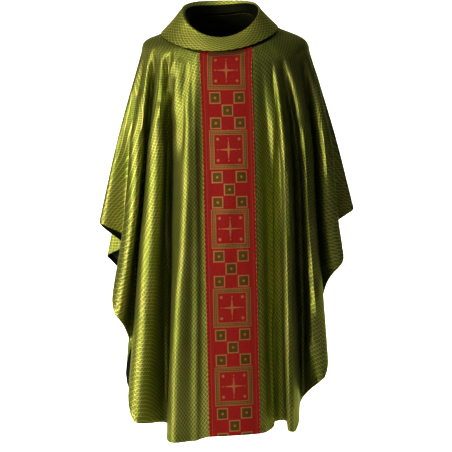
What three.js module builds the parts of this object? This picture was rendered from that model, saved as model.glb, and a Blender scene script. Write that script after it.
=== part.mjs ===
import * as THREE from "three";

// Wide chasuble with a roll collar and a woven orphrey, as it hangs when worn.
// Millimetres, +Z up, the front faces -Y, and the origin is the seat on the neck and shoulders.

// Thicknesses and gaps
const CLOTH = 1.6;
const LINING_CLOTH = 1.0;
const BAND_CLOTH = 1.0;
const COLLAR_CLOTH = 2.4;
const SEAM_GAP = 0.3;

// Driving sizes
const BAND_WIDTH = 148;
const BAND_TOP_X = 0;
const BAND_HEM_X = 26;
const HEM_TURN = 18;
const BUST_Z = -297;
const WAIST_Z = -549;
const BACK_BULGE = 12;
const DROP_SHARE = 0.14;

// How finely the cloth is divided
const FOLD_SIDE_SHARES = [0, 0.2, 0.5, 0.8];
const STEPS_PER_FOLD_SIDE = FOLD_SIDE_SHARES.length;
const STEPS_TO_COLLAR_EDGE = 2;
const STEPS_TO_SHOULDER = 2;
const STEPS_TO_HEM = 8;
const STEP_GROWTH = 1.2;
const RINGS_FREE_BY = 4;
const ROUNDNESS = { ridge: 0.62, valley: 0.32, edge: 0.47 };
const WIDEST_CURVE = { ridge: 46, valley: 24, edge: 60 };
const LINING_FIRST_STEP = 3;
const COLLAR_COLUMNS = 44;
const COLLAR_STEPS = 11;
const CURVE_SAMPLES = 200;

// Turns the rows of a table into objects with the table's column names.
function table(columns, rows) {
  return rows.map((row) => Object.fromEntries(columns.map((name, index) => [name, row[index]])));
}

// Level rings that the cloth runs through from the neck to the shoulder.
// front, side and back are the heights there, and roll lifts the right side and lowers the left.
const RING = ["name", "centreX", "halfWidth", "yFront", "yBack", "zFront", "zSide", "zBack", "roll"];
const PANEL_RINGS = table(RING, [
  ["neck seam", -16, 96, -87, 76, -50, 42, 64, 6],
  ["under the collar edge", -19, 172, -145, 124, -59, 10, 33, 9],
  ["shoulder", -2, 240, -157, 142, -105, -18, -45, 1],
]);
const COLLAR_RINGS = table(RING, [
  ["neck seam", -15, 93, -78, 73, -34, 50, 71, 6],
  ["stand", -15, 99, -86, 76, -26, 61, 86, 4],
  ["inside of the rim", -15, 109, -94, 83, -16, 71, 103, 2],
  ["top of the rim", -16, 115, -99, 89, -12, 74, 110, 2],
  ["outside of the rim", -17, 121, -106, 95, -17, 67, 103, 3],
  ["fall", -18, 145, -130, 111, -35, 42, 72, 6],
  ["lower edge", -19, 173, -152, 128, -53, 16, 40, 9],
]);

// The folds in order round the garment, ridge and valley by turns, each a line from the neck to the hem.
// neck and shoulder are its angles on the rings, in degrees from the left side through the front.
// A fold with no bust or waist of its own hangs straight from the shoulder to the hem.
// Just below the shoulder each one already drops straight towards the bust, which keeps the shoulder crisp.
const FOLD = ["name", "neck", "shoulder", "xBust", "yBust", "xWaist", "yWaist", "xHem", "yHem", "zHem"];
const FRONT_FOLDS = table(FOLD, [
  ["left side edge", 0, 0, -321, 4, null, null, -379, 0, -552],
  ["left valley 1", 12, 12, -278, -12, null, null, -302, -4, -597],
  ["left ridge 1", 24, 24, -257, -84, -281, -106, -325, -102, -823],
  ["left valley 2", 31, 31, -231, -33, -256, -30, -286, -16, -918],
  ["left ridge 2", 38, 38, -203, -118, -217, -142, -268, -160, -1128],
  ["left valley 3", 48, 48, -166, -68, -174, -56, -176, -66, -1152],
  ["left ridge 3", 60, 60, -128, -150, -131, -178, -163, -210, -1173],
  ["left valley 4", 67, 67, -88, -153, -82, -177, -88, -204, -1172],
  ["band left edge", 71.3, 72.5, null, -156, null, -178, null, -203, -1161],
  ["band right edge", 122.7, 108.5, null, -157, null, -178, null, -200, -1152],
  ["right valley 1", 128, 116, 118, -138, 123, -150, 134, -164, -1147],
  ["right ridge 1", 131, 120, 137, -138, 143, -144, 151, -158, -1133],
  ["right valley 2", 134, 123.5, 151, -126, 160, -130, 168, -136, -1131],
  ["right ridge 2", 137, 127, 171, -152, 183, -176, 198, -200, -1146],
  ["right valley 3", 141, 132, 204, -60, 220, -50, 229, -56, -1078],
  ["right ridge 3", 147, 139, 234, -114, 250, -144, 288, -142, -1000],
  ["right valley 4", 162, 157, 252, -26, 266, -20, 284, -10, -804],
  ["right ridge 4", 168, 166, 284, -78, 307, -98, 331, -90, -683],
  ["right valley 5", 174, 173, 304, -15, null, null, 320, -5, -555],
  ["right side edge", 180, 180, 326, 2, null, null, 382, 0, -512],
]);
const BACK_FOLDS = table(FOLD, [
  ["back valley 1", 187, 188, null, null, null, null, 317, 45, -571],
  ["back ridge 1", 194, 196, null, null, null, null, 318, 88, -690],
  ["back valley 2", 202, 204, null, null, null, null, 258, 70, -800],
  ["back ridge 2", 210, 212, null, null, null, null, 283, 150, -1000],
  ["back valley 3", 219, 221, null, null, null, null, 208, 88, -1085],
  ["back ridge 3", 228, 230, null, null, null, null, 200, 182, -1148],
  ["back valley 4", 238, 240, null, null, null, null, 140, 148, -1178],
  ["back ridge 4", 246, 247, null, null, null, null, 116, 192, -1192],
  ["back valley 5", 256, 256, null, null, null, null, 64, 118, -1200],
  ["back ridge 5", 267, 267, null, null, null, null, 22, 211, -1213],
  ["back valley 6", 279, 279, null, null, null, null, -48, 166, -1212],
  ["back ridge 6", 288, 288, null, null, null, null, -88, 202, -1206],
  ["back valley 7", 297, 297, null, null, null, null, -131, 116, -1188],
  ["back ridge 7", 308, 308, null, null, null, null, -196, 186, -1165],
  ["back valley 8", 317, 317, null, null, null, null, -205, 100, -1110],
  ["back ridge 8", 328, 328, null, null, null, null, -303, 168, -1106],
  ["back valley 9", 338, 338, null, null, null, null, -262, 85, -800],
  ["back ridge 9", 347, 347, null, null, null, null, -357, 75, -672],
  ["back valley 10", 354, 354, null, null, null, null, -310, 42, -628],
]);
const FOLDS = [...FRONT_FOLDS, ...BACK_FOLDS];
const BAND_FIRST_FOLD = FOLDS.findIndex((fold) => fold.name === "band left edge");
const SIDE_EDGE_FOLD = FRONT_FOLDS.length - 1;

// A point of a ring at an angle from the left side through the front.
function ringPoint(ring, degrees) {
  const angle = THREE.MathUtils.degToRad(degrees);
  const depth = -Math.sin(angle);
  const tilt = (ring.zBack - ring.zFront) / 2;
  const bend = (ring.zBack + ring.zFront) / 2 - ring.zSide;
  return new THREE.Vector3(
    ring.centreX - ring.halfWidth * Math.cos(angle),
    depth < 0 ? -ring.yFront * depth : ring.yBack * depth,
    ring.zSide - ring.roll * Math.cos(angle) + tilt * depth + bend * depth * depth,
  );
}

// The middle line of the band leans a little from the neck to the hem.
function bandMiddle(z, zHem) {
  return THREE.MathUtils.lerp(BAND_TOP_X, BAND_HEM_X, Math.min(1, z / zHem));
}

// A knot of a fold at one height, straight between shoulder and hem where the table gives none.
function foldKnot(fold, shoulder, z, x, y) {
  const share = (z - shoulder.z) / (fold.zHem - shoulder.z);
  const bulge = BACK_BULGE * Math.sin(Math.PI * share);
  const straightX = THREE.MathUtils.lerp(shoulder.x, fold.xHem, share);
  const straightY = THREE.MathUtils.lerp(shoulder.y, fold.yHem, share) + bulge;
  return new THREE.Vector3(x ?? straightX, y ?? straightY, z);
}

// The line of one fold: points from the neck seam to the hem, one for each step down the cloth.
function foldLine(fold) {
  const seats = PANEL_RINGS.map((ring, index) => ringPoint(ring, index < 2 ? fold.neck : fold.shoulder));
  const shoulder = seats[seats.length - 1];
  const side = { "band left edge": -1, "band right edge": 1 }[fold.name] ?? 0;
  const onBand = (z, x) => (side ? bandMiddle(z, fold.zHem) + (side * BAND_WIDTH) / 2 : x);
  const bust = foldKnot(fold, shoulder, BUST_Z, onBand(BUST_Z, fold.xBust), fold.yBust);
  const drop = shoulder.clone().lerp(bust, DROP_SHARE);
  const knots = [...seats, drop, bust];
  const hasWaist = fold.zHem < WAIST_Z - 100;
  if (hasWaist) knots.push(foldKnot(fold, shoulder, WAIST_Z, onBand(WAIST_Z, fold.xWaist), fold.yWaist));
  knots.push(new THREE.Vector3(onBand(fold.zHem, fold.xHem), fold.yHem, fold.zHem));
  const curve = new THREE.CatmullRomCurve3(knots, false, "centripetal");
  const knotShare = 1 / (knots.length - 1);
  const line = [];
  for (let step = 0; step < STEPS_TO_COLLAR_EDGE; step++) {
    line.push(curve.getPoint((step / STEPS_TO_COLLAR_EDGE) * knotShare));
  }
  for (let step = 0; step < STEPS_TO_SHOULDER; step++) {
    line.push(curve.getPoint((1 + step / STEPS_TO_SHOULDER) * knotShare));
  }
  return [...line, ...hangingPoints(curve, 2 * knotShare)];
}

// Points by length from the shoulder to the hem, the last step being the turned-up hem.
function hangingPoints(curve, start) {
  const samples = [];
  for (let index = 0; index <= CURVE_SAMPLES; index++) {
    samples.push(curve.getPoint(THREE.MathUtils.lerp(start, 1, index / CURVE_SAMPLES)));
  }
  const lengths = [0];
  for (let index = 1; index < samples.length; index++) {
    lengths.push(lengths[index - 1] + samples[index].distanceTo(samples[index - 1]));
  }
  const total = lengths[CURVE_SAMPLES];
  const points = [];
  for (let step = 0; step <= STEPS_TO_HEM; step++) {
    const wanted = (total - HEM_TURN) * (step / STEPS_TO_HEM) ** STEP_GROWTH;
    points.push(pointAtLength(samples, lengths, wanted));
  }
  return [...points, samples[CURVE_SAMPLES]];
}

// The point of a sampled line at a length along it.
function pointAtLength(samples, lengths, wanted) {
  const after = Math.max(1, lengths.findIndex((length) => length >= wanted));
  const share = (wanted - lengths[after - 1]) / (lengths[after] - lengths[after - 1]);
  return samples[after - 1].clone().lerp(samples[after], share);
}

// Ridges of a heavy cloth are round and broad, and valleys are tight.
const foldKinds = FOLDS.map((fold) => ["ridge", "valley"].find((kind) => fold.name.includes(kind)) ?? "edge");

// How far the cloth keeps a fold's direction, for a fold side of this width.
function handleLength(index, width) {
  const kind = foldKinds[index];
  return Math.min(ROUNDNESS[kind] * width, WIDEST_CURVE[kind]);
}

// One ring of cloth through the points of all folds at one step, rounded at each ridge and valley.
// It is rounded as seen from above. Its height is rounded only near the neck, and runs straight from
// fold to fold lower down, where freedom is 1, so that the hem keeps its corners.
function roundedRing(corners, freedom) {
  const count = corners.length;
  const headings = corners.map((_, index) => {
    const heading = corners[(index + 1) % count].clone().sub(corners[(index + count - 1) % count]);
    return heading.divideScalar(Math.hypot(heading.x, heading.y));
  });
  const ring = [];
  corners.forEach((start, index) => {
    const next = (index + 1) % count;
    const end = corners[next];
    const reach = Math.hypot(end.x - start.x, end.y - start.y);
    const leave = start.clone().addScaledVector(headings[index], handleLength(index, reach));
    const arrive = end.clone().addScaledVector(headings[next], -handleLength(next, reach));
    leave.z = THREE.MathUtils.lerp(leave.z, start.z + (end.z - start.z) / 3, freedom);
    arrive.z = THREE.MathUtils.lerp(arrive.z, end.z - (end.z - start.z) / 3, freedom);
    const curve = new THREE.CubicBezierCurve3(start, leave, arrive, end);
    ring.push(...FOLD_SIDE_SHARES.map((share) => curve.getPoint(share)));
  });
  return ring;
}

// The outward normal at each point of a grid that wraps round.
function gridNormals(grid) {
  const count = grid[0].length;
  return grid.map((ring, row) =>
    ring.map((_, column) => {
      const above = grid[Math.max(0, row - 1)][column];
      const below = grid[Math.min(grid.length - 1, row + 1)][column];
      const left = ring[(column + count - 1) % count];
      const right = ring[(column + 1) % count];
      const down = below.clone().sub(above);
      return down.cross(right.clone().sub(left)).normalize();
    }),
  );
}

// How far each step's heights run straight from fold to fold: 0 down to the shoulder, 1 from the chest on.
function heightFreedom(step) {
  const hanging = Math.max(0, step - STEPS_TO_COLLAR_EDGE - STEPS_TO_SHOULDER);
  return Math.min(1, RINGS_FREE_BY * (hanging / STEPS_TO_HEM) ** STEP_GROWTH);
}

const foldLines = FOLDS.map(foldLine);
const clothGrid = foldLines[0].map((_, step) =>
  roundedRing(
    foldLines.map((line) => line[step]),
    heightFreedom(step),
  ),
);
const clothNormals = gridNormals(clothGrid);
const CLOTH_COLUMNS = clothGrid[0].length;

// A closed wall between two grids of points that match, the outer face and the inner face.
function wallGeometry(outer, inner, wraps) {
  const rows = outer.length;
  const columns = outer[0].length;
  const spans = wraps ? columns : columns - 1;
  const positions = [...outer, ...inner].flat().flatMap((point) => point.toArray());
  const indices = [];
  const outside = (row, column) => row * columns + (column % columns);
  const inside = (row, column) => (rows + row) * columns + (column % columns);
  const quad = (a, b, c, d) => indices.push(a, b, c, a, c, d);
  for (let column = 0; column < spans; column++) {
    const next = column + 1;
    const last = rows - 1;
    for (let row = 0; row < last; row++) {
      quad(outside(row, column), outside(row + 1, column), outside(row + 1, next), outside(row, next));
      quad(inside(row, column), inside(row, next), inside(row + 1, next), inside(row + 1, column));
    }
    quad(outside(0, column), outside(0, next), inside(0, next), inside(0, column));
    quad(outside(last, next), outside(last, column), inside(last, column), inside(last, next));
  }
  for (let row = 0; row < rows - 1 && !wraps; row++) {
    const end = columns - 1;
    quad(outside(row + 1, 0), outside(row, 0), inside(row, 0), inside(row + 1, 0));
    quad(outside(row, end), outside(row + 1, end), inside(row + 1, end), inside(row, end));
  }
  const geometry = new THREE.BufferGeometry();
  geometry.setAttribute("position", new THREE.Float32BufferAttribute(positions, 3));
  geometry.setIndex(indices);
  geometry.computeVertexNormals();
  return geometry;
}

// Part of the cloth grid between two columns and two rows, moved out along the normals.
// The side columns draw in by half a seam gap, so that the neighbour leaves a whole one.
function clothFace(columns, rows, offset) {
  const [firstColumn, lastColumn] = columns;
  const [firstRow, lastRow] = rows;
  const face = [];
  for (let row = firstRow; row <= lastRow; row++) {
    const line = [];
    for (let column = firstColumn; column <= lastColumn; column++) {
      const here = column % CLOTH_COLUMNS;
      const point = clothGrid[row][here].clone().addScaledVector(clothNormals[row][here], offset);
      if (column === firstColumn || column === lastColumn) {
        const inward = column === firstColumn ? 1 : -1;
        const neighbour = clothGrid[row][(here + inward + CLOTH_COLUMNS) % CLOTH_COLUMNS];
        const across = neighbour.clone().sub(clothGrid[row][here]).normalize();
        point.addScaledVector(across, SEAM_GAP / 2);
      }
      line.push(point);
    }
    face.push(line);
  }
  return face;
}

// A wall of cloth on part of the grid, from one distance off its middle to another.
function clothWall(columns, rows, from, to) {
  return wallGeometry(clothFace(columns, rows, to), clothFace(columns, rows, from), false);
}

// The collar's wall, through rings from its seam up over the rim and down to its lower edge.
function collarWall() {
  const lines = [];
  for (let column = 0; column < COLLAR_COLUMNS; column++) {
    const degrees = (360 * column) / COLLAR_COLUMNS;
    const curve = new THREE.CatmullRomCurve3(COLLAR_RINGS.map((ring) => ringPoint(ring, degrees)));
    lines.push(curve.getPoints(COLLAR_STEPS));
  }
  const grid = lines[0].map((_, step) => lines.map((line) => line[step]));
  const normals = gridNormals(grid);
  const face = (offset) =>
    grid.map((ring, row) => ring.map((point, column) => point.clone().addScaledVector(normals[row][column], offset)));
  return wallGeometry(face(COLLAR_CLOTH / 2), face(-COLLAR_CLOTH / 2), true);
}

const MATERIALS = {
  brocade: { color: 0x6e6e22, roughness: 0.45, metalness: 0.25 },
  orphrey: { color: 0x83231a, roughness: 0.5, metalness: 0.15 },
  lining: { color: 0x1f2a2c, roughness: 0.7, metalness: 0.0 },
};

function cloth(name, geometry, finish) {
  const mesh = new THREE.Mesh(geometry, new THREE.MeshStandardMaterial(MATERIALS[finish]));
  mesh.name = name;
  return mesh;
}

const lastRow = clothGrid.length - 1;
const liningFirstRow = STEPS_TO_COLLAR_EDGE + STEPS_TO_SHOULDER + LINING_FIRST_STEP;
const frontColumns = [0, SIDE_EDGE_FOLD * STEPS_PER_FOLD_SIDE];
const backColumns = [frontColumns[1], CLOTH_COLUMNS];
const bandColumns = [BAND_FIRST_FOLD, BAND_FIRST_FOLD + 1].map((fold) => fold * STEPS_PER_FOLD_SIDE);
const allRows = [0, lastRow];
const bandRows = [STEPS_TO_COLLAR_EDGE, lastRow];
const liningRows = [liningFirstRow, lastRow - 1];
const half = CLOTH / 2;
const overCloth = half + SEAM_GAP;

const chasuble = new THREE.Group();
chasuble.add(cloth("front_panel", clothWall(frontColumns, allRows, -half, half), "brocade"));
chasuble.add(cloth("back_panel", clothWall(backColumns, allRows, -half, half), "brocade"));
chasuble.add(cloth("collar", collarWall(), "brocade"));
chasuble.add(cloth("front_orphrey", clothWall(bandColumns, bandRows, overCloth, overCloth + BAND_CLOTH), "orphrey"));
for (const [name, columns] of Object.entries({ front_lining: frontColumns, back_lining: backColumns })) {
  chasuble.add(cloth(name, clothWall(columns, liningRows, -overCloth - LINING_CLOTH, -overCloth), "lining"));
}

export default chasuble;
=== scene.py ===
# %% [markdown]
# # A chasuble, hanging as it is worn
# A chasuble is one wide cut of brocade, joined over the shoulders, with a turned-over collar at the
# neck and a woven band, the orphrey, down the front. It has no sleeves and no darts, so its whole
# shape is the fall of its folds. That is why every form here starts from one short table of folds,
# each a line from the neck to the hem, and why the cloth, the band and the linings share one grid.

# %% Load the frame
import math

import bpy
import numpy as np
from mathutils import Matrix, Vector


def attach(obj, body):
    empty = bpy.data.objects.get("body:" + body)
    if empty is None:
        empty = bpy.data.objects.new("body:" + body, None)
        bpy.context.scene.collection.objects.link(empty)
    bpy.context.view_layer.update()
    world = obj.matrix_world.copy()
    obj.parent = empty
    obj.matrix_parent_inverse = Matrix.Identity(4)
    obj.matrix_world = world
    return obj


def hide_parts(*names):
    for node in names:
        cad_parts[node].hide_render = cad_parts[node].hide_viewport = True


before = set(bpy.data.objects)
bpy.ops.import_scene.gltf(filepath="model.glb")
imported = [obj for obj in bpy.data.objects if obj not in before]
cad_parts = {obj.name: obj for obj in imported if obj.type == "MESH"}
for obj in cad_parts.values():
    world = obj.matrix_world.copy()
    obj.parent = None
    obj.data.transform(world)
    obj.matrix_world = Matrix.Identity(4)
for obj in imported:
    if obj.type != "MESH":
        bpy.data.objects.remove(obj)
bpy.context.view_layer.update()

# %% [markdown]
# ## Camera and studio
# The photograph is a plain front view, taken from about four metres away with the lens at the height
# of the chest and turned a little down. The garment hangs free of the ground, so the floor is a pale
# sweep that rises behind it without an edge. One big soft lamp stands at the front left, where the
# highlights of the folds say it was, a small one above lights the collar, and a weak one fills in from
# the right. One large lamp could light both garment and backdrop, but it would flatten the folds, so
# two more lamps light the backdrop alone.

# %% Camera
MM = 0.001
VIEW_DISTANCE = 4.0
LENS_HEIGHT = -0.25
AIM_HEIGHT = -0.567
PICTURE_PIXELS = 452
MM_PER_PIXEL = 3.0
FRAME_WIDTH = PICTURE_PIXELS * MM_PER_PIXEL * MM

camera_data = bpy.data.cameras.new("camera")
camera = bpy.data.objects.new("camera", camera_data)
bpy.context.collection.objects.link(camera)
camera.location = (0, -VIEW_DISTANCE, LENS_HEIGHT)
aim = Vector((0, 0, AIM_HEIGHT)) - camera.location
camera.rotation_euler = aim.to_track_quat("-Z", "Y").to_euler()
camera_data.angle = 2 * math.atan(FRAME_WIDTH / 2 / aim.length)
bpy.context.scene.camera = camera
print("lens angle:", round(math.degrees(camera_data.angle), 2), "degrees")

# %% Floor sweep
FLOOR_HEIGHT = -1.6
SWEEP_WIDTH = 14.0
SWEEP_FRONT = -6.0
SWEEP_BACK = 5.0
SWEEP_RADIUS = 1.4
SWEEP_TOP = 4.0
SWEEP_ARC_STEPS = 24
FLOOR_WHITE = (0.93, 0.93, 0.93, 1)
FLOOR_ROUGHNESS = 0.9


def sweep_profile():
    """The section of the sweep, each point as y and z."""
    points = [(SWEEP_FRONT, FLOOR_HEIGHT)]
    for step in range(SWEEP_ARC_STEPS + 1):
        turn = math.pi / 2 * step / SWEEP_ARC_STEPS
        depth = SWEEP_BACK - SWEEP_RADIUS + SWEEP_RADIUS * math.sin(turn)
        points.append((depth, FLOOR_HEIGHT + SWEEP_RADIUS * (1 - math.cos(turn))))
    points.append((SWEEP_BACK, SWEEP_TOP))
    return points


profile = sweep_profile()
sweep_mesh = bpy.data.meshes.new("studio_floor")
sweep_points = [(side * SWEEP_WIDTH / 2, y, z) for y, z in profile for side in (-1, 1)]
sweep_faces = [(2 * i, 2 * i + 1, 2 * i + 3, 2 * i + 2) for i in range(len(profile) - 1)]
sweep_mesh.from_pydata(sweep_points, [], sweep_faces)
sweep_mesh.shade_smooth()
studio_floor = bpy.data.objects.new("studio_floor", sweep_mesh)
bpy.context.collection.objects.link(studio_floor)

floor_paint = bpy.data.materials.new("pale floor")
floor_paint.use_nodes = True
floor_shader = floor_paint.node_tree.nodes["Principled BSDF"]
floor_shader.inputs["Base Color"].default_value = FLOOR_WHITE
floor_shader.inputs["Roughness"].default_value = FLOOR_ROUGHNESS
studio_floor.data.materials.append(floor_paint)
print("floor at", FLOOR_HEIGHT, "m")

# %% Lamps
WARM_WHITE = (1.0, 0.94, 0.82)
PLAIN_WHITE = (1.0, 1.0, 1.0)


def soft_lamp(name, place, target, size, power, tint):
    """A square lamp turned to its target, with sizes in metres and power in watts."""
    light = bpy.data.lights.new(name, "AREA")
    light.shape = "SQUARE"
    light.size = size
    light.energy = power
    light.color = tint
    lamp = bpy.data.objects.new(name, light)
    bpy.context.collection.objects.link(lamp)
    lamp.location = place
    lamp.rotation_euler = (Vector(target) - Vector(place)).to_track_quat("-Z", "Y").to_euler()
    return lamp


soft_lamp("key_lamp", (-3.25, -2.85, 0.35), (0, 0, -0.7), 0.75, 124, WARM_WHITE)
soft_lamp("upper_lamp", (-0.8, -1.0, 2.3), (0, 0, 0.0), 0.4, 15, WARM_WHITE)
soft_lamp("fill_lamp", (2.8, -3.0, 0.2), (0, 0, -0.6), 2.0, 0.4, PLAIN_WHITE)
soft_lamp("left_backdrop_lamp", (-1.8, 1.6, 0.5), (-0.7, 3.6, -1.0), 1.0, 120, PLAIN_WHITE)
soft_lamp("right_backdrop_lamp", (1.8, 1.6, 0.5), (0.7, 3.6, -1.0), 1.0, 120, PLAIN_WHITE)
print("lamps:", ", ".join(sorted(light.name for light in bpy.data.lights)))

# %% Room light and tones
ROOM_WHITE = (1, 1, 1, 1)
ROOM_LIGHT = 0.022
EXPOSURE = 0.5
GAMMA = 0.8

world = bpy.data.worlds.new("studio")
world.use_nodes = True
room = world.node_tree.nodes["Background"]
room.inputs["Color"].default_value = ROOM_WHITE
room.inputs["Strength"].default_value = ROOM_LIGHT
bpy.context.scene.world = world
tones = bpy.context.scene.view_settings
tones.view_transform = "Standard"
tones.exposure = EXPOSURE
tones.gamma = GAMMA
print("exposure", tones.exposure, "and gamma", tones.gamma)

# %% [markdown]
# ## The folds
# Each row below is one ridge or valley of the hanging cloth. It gives the angle at which the fold
# leaves the neck and the shoulder, its place at the bust, the waist and the hem, and the height of the
# hem there. A sculptor could push such folds into a tube of cloth by hand, but then the front, the
# back, the band and the lining would each need the same strokes. A table keeps them all in step.

# %% Rings at the neck and shoulder, in millimetres
RING = "centre half_width y_front y_back z_front z_side z_back roll".split()
FOLD = "name neck shoulder x_bust y_bust x_waist y_waist x_hem y_hem z_hem".split()


def table(columns, rows):
    """Rows of a table as dictionaries, so that each value is read by its column's name."""
    return [dict(zip(columns, row)) for row in rows]


PANEL_RINGS = table(RING, [
    (-16, 96, -87, 76, -50, 42, 64, 6),
    (-19, 172, -145, 124, -59, 10, 33, 9),
    (-2, 240, -157, 142, -105, -18, -45, 1),
])

# %% Folds of the front, from the left side edge to the right, in millimetres and degrees
FRONT_FOLDS = table(FOLD, [
    ("left side edge", 0, 0, -321, 4, None, None, -379, 0, -552),
    ("left valley 1", 12, 12, -278, -12, None, None, -302, -4, -597),
    ("left ridge 1", 24, 24, -257, -84, -281, -106, -325, -102, -823),
    ("left valley 2", 31, 31, -231, -33, -256, -30, -286, -16, -918),
    ("left ridge 2", 38, 38, -203, -118, -217, -142, -268, -160, -1128),
    ("left valley 3", 48, 48, -166, -68, -174, -56, -176, -66, -1152),
    ("left ridge 3", 60, 60, -128, -150, -131, -178, -163, -210, -1173),
    ("left valley 4", 67, 67, -88, -153, -82, -177, -88, -204, -1172),
    ("band left edge", 71.3, 72.5, None, -156, None, -178, None, -203, -1161),
    ("band right edge", 122.7, 108.5, None, -157, None, -178, None, -200, -1152),
    ("right valley 1", 128, 116, 118, -138, 123, -150, 134, -164, -1147),
    ("right ridge 1", 131, 120, 137, -138, 143, -144, 151, -158, -1133),
    ("right valley 2", 134, 123.5, 151, -126, 160, -130, 168, -136, -1131),
    ("right ridge 2", 137, 127, 171, -152, 183, -176, 198, -200, -1146),
    ("right valley 3", 141, 132, 204, -60, 220, -50, 229, -56, -1078),
    ("right ridge 3", 147, 139, 234, -114, 250, -144, 288, -142, -1000),
    ("right valley 4", 162, 157, 252, -26, 266, -20, 284, -10, -804),
    ("right ridge 4", 168, 166, 284, -78, 307, -98, 331, -90, -683),
    ("right valley 5", 174, 173, 304, -15, None, None, 320, -5, -555),
    ("right side edge", 180, 180, 326, 2, None, None, 382, 0, -512),
])

# %% Folds of the back, from the right side edge to the left
BACK_FOLDS = table(FOLD, [
    ("back valley 1", 187, 188, None, None, None, None, 317, 45, -571),
    ("back ridge 1", 194, 196, None, None, None, None, 318, 88, -690),
    ("back valley 2", 202, 204, None, None, None, None, 258, 70, -800),
    ("back ridge 2", 210, 212, None, None, None, None, 283, 150, -1000),
    ("back valley 3", 219, 221, None, None, None, None, 208, 88, -1085),
    ("back ridge 3", 228, 230, None, None, None, None, 200, 182, -1148),
    ("back valley 4", 238, 240, None, None, None, None, 140, 148, -1178),
    ("back ridge 4", 246, 247, None, None, None, None, 116, 192, -1192),
    ("back valley 5", 256, 256, None, None, None, None, 64, 118, -1200),
    ("back ridge 5", 267, 267, None, None, None, None, 22, 211, -1213),
    ("back valley 6", 279, 279, None, None, None, None, -48, 166, -1212),
    ("back ridge 6", 288, 288, None, None, None, None, -88, 202, -1206),
    ("back valley 7", 297, 297, None, None, None, None, -131, 116, -1188),
    ("back ridge 7", 308, 308, None, None, None, None, -196, 186, -1165),
    ("back valley 8", 317, 317, None, None, None, None, -205, 100, -1110),
    ("back ridge 8", 328, 328, None, None, None, None, -303, 168, -1106),
    ("back valley 9", 338, 338, None, None, None, None, -262, 85, -800),
    ("back ridge 9", 347, 347, None, None, None, None, -357, 75, -672),
    ("back valley 10", 354, 354, None, None, None, None, -310, 42, -628),
])
FOLDS = FRONT_FOLDS + BACK_FOLDS
print(len(FRONT_FOLDS), "fold lines in front,", len(BACK_FOLDS), "behind")

# %% Sizes of the cloth, in millimetres
CLOTH = 1.6
LINING_CLOTH = 1.0
BAND_CLOTH = 1.0
COLLAR_CLOTH = 2.4
SEAM_GAP = 0.3
BAND_WIDTH = 148
BAND_HEM_X = 26
HEM_TURN = 18

# %% How the folds run, in millimetres and shares
BUST_Z = -297
WAIST_Z = -549
WAIST_MARGIN = 100
BACK_BULGE = 12
DROP_SHARE = 0.14
ROUNDNESS = {"ridge": 0.62, "valley": 0.32, "edge": 0.47}
WIDEST_CURVE = {"ridge": 46, "valley": 24, "edge": 60}

# %% Fineness of the grid
COLUMNS_PER_SIDE = 10
ROWS_TO_COLLAR_EDGE = 8
ROWS_TO_SHOULDER = 8
ROWS_TO_HEM = 88
ROWS_OF_HEM = 3
CURVE_SAMPLES = 400

# %% One fold line from the neck to the hem


def ring_point(ring, degrees):
    """A point on a ring, counted in degrees from the left side over the front."""
    angle = np.radians(degrees)
    depth = -np.sin(angle)
    tilt = (ring["z_back"] - ring["z_front"]) / 2
    bend = (ring["z_back"] + ring["z_front"]) / 2 - ring["z_side"]
    x = ring["centre"] - ring["half_width"] * np.cos(angle)
    y = np.where(depth < 0, -ring["y_front"] * depth, ring["y_back"] * depth)
    z = ring["z_side"] - ring["roll"] * np.cos(angle) + tilt * depth + bend * depth**2
    return np.stack([x, y, z], axis=-1)


def spline(knots, shares):
    """Points on a centripetal Catmull-Rom curve through the knots, at shares from 0 to 1."""
    knots = np.asarray(knots, float)
    ends = [2 * knots[:1] - knots[1:2], knots, 2 * knots[-1:] - knots[-2:-1]]
    padded = np.concatenate(ends)
    spans = len(knots) - 1
    place = np.asarray(shares) * spans
    start = np.minimum(place.astype(int), spans - 1)
    share = (place - start)[:, None]
    a, b, c, d = (padded[start + step] for step in range(4))
    chords = (b - a, c - b, d - c)
    before, here, after = (np.sqrt(np.linalg.norm(chord, axis=1))[:, None] for chord in chords)
    leave = ((b - a) / before - (c - a) / (before + here) + (c - b) / here) * here
    arrive = ((c - b) / here - (d - b) / (here + after) + (d - c) / after) * here
    square, cube = share**2, share**3
    return (
        (2 * cube - 3 * square + 1) * b
        + (cube - 2 * square + share) * leave
        + (3 * square - 2 * cube) * c
        + (cube - square) * arrive
    )


def fold_knots(fold):
    """The places of one fold, from the neck over the shoulder down to the hem."""
    seats = [ring_point(ring, fold[seat]) for ring, seat in zip(PANEL_RINGS, ("neck", "neck", "shoulder"))]
    shoulder = seats[-1]
    side = {"band left edge": -1, "band right edge": 1}.get(fold["name"])

    def knot(z, x, y):
        share = (z - shoulder[2]) / (fold["z_hem"] - shoulder[2])
        if side:
            x = BAND_HEM_X * min(1, z / fold["z_hem"]) + side * BAND_WIDTH / 2
        if x is None:
            x = shoulder[0] + (fold["x_hem"] - shoulder[0]) * share
        if y is None:
            y = shoulder[1] + (fold["y_hem"] - shoulder[1]) * share + BACK_BULGE * math.sin(math.pi * share)
        return np.array([x, y, z])

    bust = knot(BUST_Z, fold["x_bust"], fold["y_bust"])
    knots = seats + [shoulder + (bust - shoulder) * DROP_SHARE, bust]
    if fold["z_hem"] < WAIST_Z - WAIST_MARGIN:
        knots.append(knot(WAIST_Z, fold["x_waist"], fold["y_waist"]))
    knots.append(knot(fold["z_hem"], fold["x_hem"], fold["y_hem"]))
    return knots


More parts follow.
